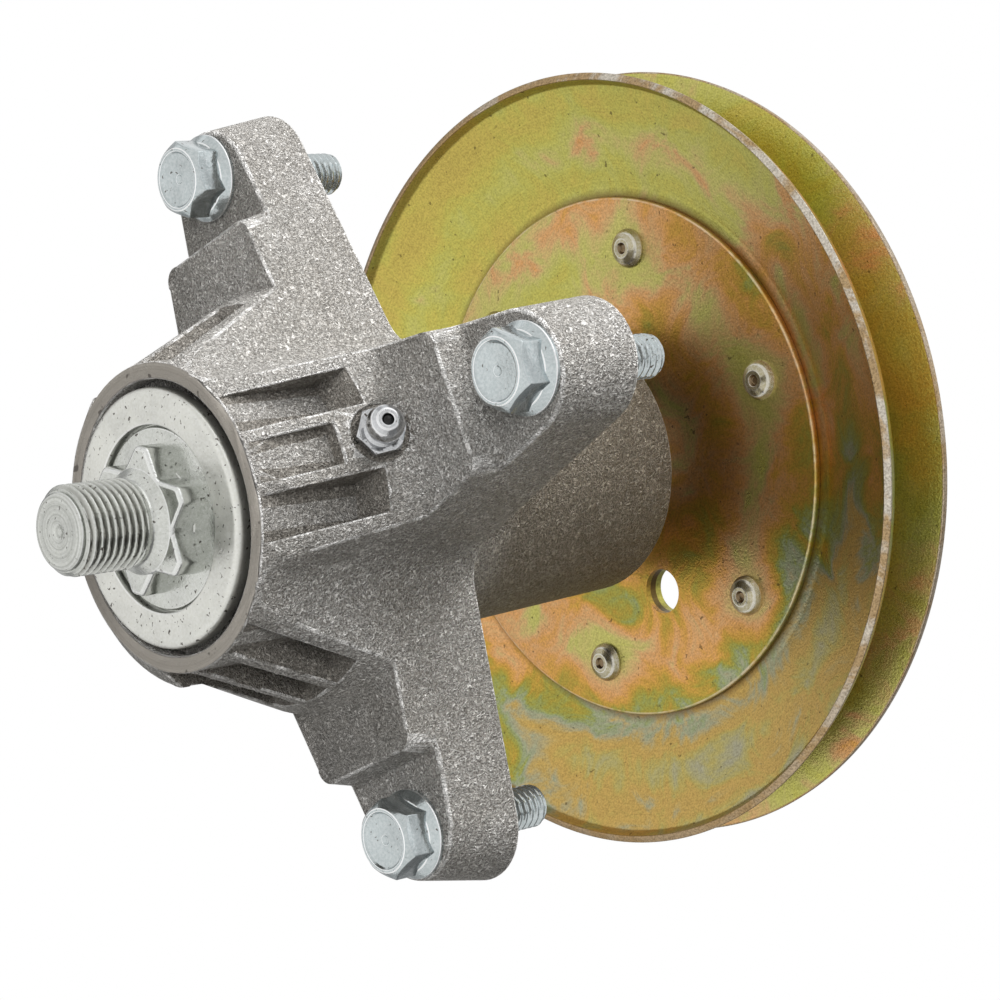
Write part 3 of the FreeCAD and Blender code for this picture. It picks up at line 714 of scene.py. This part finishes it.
groove_zinc = yellow_zinc(
    "groove_zinc", film=0.36, rise=(0.3, 0.0, 0), ring=(0.04, 0.020, 0.076), halo=0.0,
    end=(0.979, 0.203, 0.08895), chips=0.5,
)
upper_outline = sheet_outline([(sheet_bore, 67.6), (54.0, 67.6), (76.2, 72.2)], sheet_thick, [3.0])
upper_half = drilled(turned("belt_face_upper", upper_outline, 288), *plain_hole)
dress(upper_half, "spindle", "yellow_zinc", groove_zinc, "pulley_upper_half")


# Rivets. Six soft steel rivets hold the three sheets together. Each has a domed head with a dimple from its tool
# on the plate, and a flatter set head behind. Their yellow film is thin and worn silvery.
def copies_tree():
    """One piece copied to each point of a mesh, unturned."""
    tree = bpy.data.node_groups.new("copies_on_points", "GeometryNodeTree")
    face = tree.interface
    face.new_socket("Points", in_out="INPUT", socket_type="NodeSocketGeometry")
    face.new_socket("Piece", in_out="INPUT", socket_type="NodeSocketObject")
    face.new_socket("Finish", in_out="INPUT", socket_type="NodeSocketMaterial")
    face.new_socket("Copies", in_out="OUTPUT", socket_type="NodeSocketGeometry")
    given = add(tree, "NodeGroupInput").outputs
    one = add(tree, "GeometryNodeObjectInfo", {"Object": given["Piece"]}).outputs["Geometry"]
    placed = add(tree, "GeometryNodeInstanceOnPoints", {"Points": given["Points"], "Instance": one}).outputs[0]
    real = add(tree, "GeometryNodeRealizeInstances", {"Geometry": placed}).outputs[0]
    real = add(tree, "GeometryNodeSetMaterial", {"Geometry": real, "Material": given["Finish"]}).outputs[0]
    add(tree, "NodeGroupOutput", {"Copies": real})
    return tree


def copied(name, piece, places, finish):
    """A piece set on places given in millimetres, as one mesh."""
    points = bpy.data.meshes.new(name)
    points.from_pydata([(x * MM, y * MM, z * MM) for x, y, z in places], [], [])
    made = worked(name, copies_on_points, points, Piece=piece, Finish=finish)
    bpy.data.objects.remove(piece)
    smooth(made.data, 40)
    return made


def rivet_dimple(tree, radius, spot):
    return span(tree, rivet_distance(tree, radius, spot), 0.0010, 0.0013, 0.8, 0.0)


copies_on_points = copies_tree()
rivet_zinc = clear_zinc("rivet_zinc", tint=(0.40, 0.355, 0.215), specks=0.5, roughness=0.26)
rivet_zinc = marked(rivet_zinc, rivet_dimple, (0.17, 0.10, 0.045, 1))
rivet_outline = soft(
    [
        (0, 63.5), (0.75, 63.45), (1.15, 62.75), (1.9, 62.72), (3.2, 63.4), (3.88, 64.5), (3.88, 64.9),
        (2.4, 64.9), (2.4, 69.1), (3.9, 69.1), (3.9, 69.65), (2.9, 70.2), (0, 70.2),
    ],
    [0, 0.2, 0.2, 0.5, 1.2, 0.3, 0.1, 0, 0, 0.1, 0.3, 0.4, 0],
    loop=False,
)
rivet = turned("rivet", rivet_outline, 48)
rivet_turns = [math.tau * k / 6 for k in range(6)]
rivet_places = [(rivet_circle * math.cos(turn), rivet_circle * math.sin(turn), 0) for turn in rivet_turns]
rivets = copied("rivet_set", rivet, rivet_places, rivet_zinc)
dress(rivets, "spindle", "rivet_steel", rivet_zinc, "pulley_rivets")


# Top washer and nut. A thick plated washer and a hex nut clamp the pulley, its sleeve and the inner rings
# to the shaft. The nut's corners are turned off at its top.
def hex_prism(name, flats, low, high, degrees, limit):
    """A hexagon along Z, cut back by a turned limit."""
    corner = flats / math.sqrt(3)
    ring = [math.radians(degrees + 60 * k) for k in range(6)]
    piece = prism(name, [(corner * math.cos(a), corner * math.sin(a)) for a in ring], low, high)
    cutter = turned("limit", limit, 96)
    cut = piece.modifiers.new("turned_limit", "BOOLEAN")
    cut.operation = "INTERSECT"
    cut.object = cutter
    cut.solver = "EXACT"
    edged(piece, width=0.25, segments=2, degrees=25)
    bpy.data.objects.remove(cutter)
    smooth(piece.data, 30)
    return piece


nut_zinc = clear_zinc("nut_zinc", tint=(0.54, 0.58, 0.60), specks=0.35, roughness=0.26)
washer_outline = soft([(8.04, 69.1), (16.0, 69.1), (16.0, 71.6), (8.04, 71.6)], [0.1, 0.3, 0.5, 0.3])
dress(turned("clamp_washer", washer_outline, 128), "spindle", "clear_zinc", nut_zinc, "top_washer")
nut_limit = [(7.5, 71.6), (13.8, 71.6), (13.8, 84.6), (11.9, 85.5), (8.6, 85.5), (7.5, 84.4)]
clamp_nut = hex_prism("clamp_nut", flats=23.8, low=71.6, high=85.5, degrees=0, limit=nut_limit)
dress(clamp_nut, "spindle", "clear_zinc", nut_zinc, "top_nut")


# Mounting bolts. Three flanged hex bolts through the ears, zinc plated with a blue passivation. Their cold-formed
# heads are dished on top, and their rolled threads stand out of the deck faces for the deck and its nuts.
bolt_zinc = clear_zinc("bolt_zinc", tint=(0.48, 0.535, 0.545), specks=0.3, roughness=0.17, edges=0.8)
flange_outline = soft(
    [(0, -15.2), (8.1, -15.2), (8.1, -15.95), (6.6, -17.3), (6.0, -17.6), (0, -17.6)],
    [0, 0.15, 0.35, 0.8, 0.4, 0],
    loop=False,
)
shank_outline = soft([(0, -17.0), (3.8, -17.0), (3.8, 0.2), (0, 0.2)], [0, 0.1, 0.1, 0], loop=False)
head_limit = soft(
    [
        (0, -16.4), (7.5, -16.4), (7.5, -20.9), (5.75, -22.5), (5.2, -22.5), (4.75, -22.0), (0.95, -21.85),
        (0.6, -21.6), (0, -21.55),
    ],
    [0, 0, 0.3, 0.3, 0.15, 0.5, 0.1, 0.1, 0],
    loop=False,
)
bolt_thread = (3.97, 0.62, 1.411)
bolt = joined("bolt", [
    turned("bolt_flange", flange_outline, 96),
    turned("bolt_shank", shank_outline, 64),
    hex_prism("bolt_head", flats=12.7, low=-22.5, high=-16.4, degrees=-20, limit=head_limit),
    threaded("bolt_thread", *bolt_thread, bottom=-1.0, top=14.7, chamfer=0.8, finish=bolt_zinc),
])
bolt_circle = 63.5
bolt_places = [(bolt_circle, 0, 0), (0, -bolt_circle, 0), (0, bolt_circle, 0)]
bolts = copied("bolt_set", bolt, bolt_places, bolt_zinc)
dress(bolts, "housing", "clear_zinc", bolt_zinc, "mounting_bolts")


# Grease fitting. A small bright-plated steel nipple screwed into the ear's web: a hex, a waist and a round head for
# the grease gun's jaws. A ball shuts its mouth from inside; it is painted near-black, as painted shade in the mouth.
fitting_zinc = clear_zinc("fitting_zinc", tint=(0.47, 0.48, 0.495), specks=0.2, roughness=0.16, edges=0.5)
web_lean = 28.0
tilt = math.radians(90 + web_lean)
nipple_outline = soft(
    [
        (1.5, -4.9), (3.0, -4.9), (3.0, 0.5), (3.2, 2.55), (2.5, 3.0), (2.45, 4.5), (3.25, 5.2), (3.3, 6.5),
        (2.85, 7.9), (2.0, 8.85), (1.7, 9.0), (1.15, 9.0), (1.0, 8.85), (1.0, 8.5), (1.5, 8.45),
    ],
    [0.1, 0.1, 0, 0.2, 0.5, 0.5, 0.4, 1.2, 1.5, 0.4, 0.2, 0.1, 0.1, 0.05, 0.05],
)
hex_limit = soft(
    [(2.4, 0.0), (4.3, 0.0), (4.6, 0.3), (4.6, 2.2), (4.1, 2.6), (2.4, 2.6)], [0, 0.1, 0.1, 0.1, 0.1, 0]
)
nipple = joined("grease_nipple", [
    turned("nipple", nipple_outline, 72),
    hex_prism("nipple_hex", flats=7.9, low=0.0, high=2.6, degrees=0, limit=hex_limit),
])
web_low, web_high = Vector((27.1, 0, -48.1)), Vector((38.6, 0, -21.0))
nipple_z, seat_depth = -26.3, 0.6
outward = Vector((math.sin(tilt), 0, math.cos(tilt)))
on_web = web_low.lerp(web_high, (nipple_z - web_low.z) / (web_high.z - web_low.z))
foot = on_web - outward * seat_depth
nipple.data.transform(Matrix.Translation(foot * MM) @ Matrix.Rotation(tilt, 4, "Y"))
smooth(nipple.data, 30)
dress(nipple, "housing", "fitting_steel", fitting_zinc, "grease_fitting")
# The check ball is near-black steel: painted shade standing in for the dark mouth of the nipple.
ball_painted_dark = moulded("ball_painted_dark", (0.02, 0.02, 0.02, 1), (0.05, 0.05, 0.05, 1), 0.16)
ball_painted_dark.node_tree.nodes["Principled BSDF"].inputs["Metallic"].default_value = 1.0
face_solids(["grease_check_ball"], ball_painted_dark)


# Studio. A pale floor well below the part, a wide soft light over it, a weaker one from the blade's side, and a
# white surround that metal mirrors.
def studio():
    """White to the eye and, dimmer on the far side, to metal; weak and a little warm on dull surfaces."""
    surround = bpy.data.worlds.new("surround")
    bpy.context.scene.world = surround
    surround.use_nodes = True
    tree = surround.node_tree
    path = add(tree, "ShaderNodeLightPath").outputs
    mirrored = reckon(tree, "MAXIMUM", path["Is Glossy Ray"], path["Is Transmission Ray"])
    way = add(tree, "ShaderNodeTexCoord").outputs["Generated"]
    shade = towards(tree, way, (-0.10, 0.94, 0.32))
    far = towards(tree, way, (-0.94, -0.30, 0.10))
    window = towards(tree, way, (0.74, -0.62, 0.20))
    wall = span(tree, shade, 0.25, 0.80, 1.0, 0.25)
    wall = reckon(tree, "MULTIPLY", wall, span(tree, far, 0.6, 0.97, 1.0, 0.45))
    wall = reckon(tree, "MULTIPLY", wall, span(tree, noise(tree, way, 2.6, 1.0), 0.38, 0.60, 0.62, 1.16))
    wall = reckon(tree, "ADD", wall, span(tree, window, 0.86, 0.94, 0.0, 0.6))
    strength = span(tree, mirrored, 0.0, 1.0, 0.18, wall)
    strength = span(tree, path["Is Camera Ray"], 0.0, 1.0, strength, 1.0)
    seen = reckon(tree, "MAXIMUM", path["Is Camera Ray"], mirrored)
    back = tree.nodes["Background"]
    tree.links.new(blend(tree, seen, (1, 0.95, 0.87, 1), (1, 1, 1, 1)), back.inputs["Color"])
    tree.links.new(strength, back.inputs["Strength"])


def lamp(name, side, distance, size, watts):
    """A square soft light shining at the part from one side."""
    light = bpy.data.lights.new(name, "AREA")
    light.size = size
    light.energy = watts
    holder = bpy.data.objects.new(name, light)
    holder.visible_glossy = False
    direction = Vector(side).normalized()
    holder.location = direction * distance
    holder.rotation_euler = (-direction).to_track_quat("-Z", "Y").to_euler()
    bpy.context.scene.collection.objects.link(holder)


def floor():
    bm = bmesh.new()
    bmesh.ops.create_grid(bm, x_segments=8, y_segments=8, size=6.0)
    bmesh.ops.translate(bm, verts=bm.verts, vec=(0, 0, -1.2))
    piece = formed("floor", bm)
    finish, tree, shader, place = new_finish("pale_floor")
    tone = noise(tree, place, 3.0)
    tree.links.new(blend(tree, tone, (0.80, 0.80, 0.80, 1), (0.84, 0.84, 0.84, 1)), shader.inputs["Base Color"])
    shader.inputs["Roughness"].default_value = 0.8
    path = add(tree, "ShaderNodeLightPath").outputs
    seen = reckon(tree, "MAXIMUM", path["Is Camera Ray"], path["Is Glossy Ray"])
    shader.inputs["Emission Color"].default_value = (1, 1, 1, 1)
    tree.links.new(span(tree, seen, 0.0, 1.0, 0.0, 0.75), shader.inputs["Emission Strength"])
    piece.data.materials.append(finish)


studio()
floor()
lamp("over_light", (0.74, -0.62, 0.20), distance=0.65, size=0.6, watts=8.6)
lamp("blade_side_light", (0.80, -0.02, -0.60), distance=0.80, size=0.4, watts=3.3)
lamp("back_light", (-0.7, 0.5, 0.6), distance=1.1, size=0.9, watts=4.0)

camera = bpy.data.cameras.new("photo_camera")
camera.sensor_width = 36.0
camera.lens = 107.03
camera.clip_start = 0.01
holder = bpy.data.objects.new("photo_camera", camera)
right = Vector((0.616119, 0.305161, 0.726137))
up = Vector((0.341763, -0.934168, 0.102604))
aim = Vector((-0.709644, -0.184951, 0.679852))
turn = Matrix((right, up, -aim)).transposed().to_4x4()
holder.matrix_world = Matrix.Translation((0.4035971, 0.1104117, -0.3562647)) @ turn
bpy.context.scene.collection.objects.link(holder)
bpy.context.scene.camera = holder
bpy.context.scene.view_settings.view_transform = "Standard"
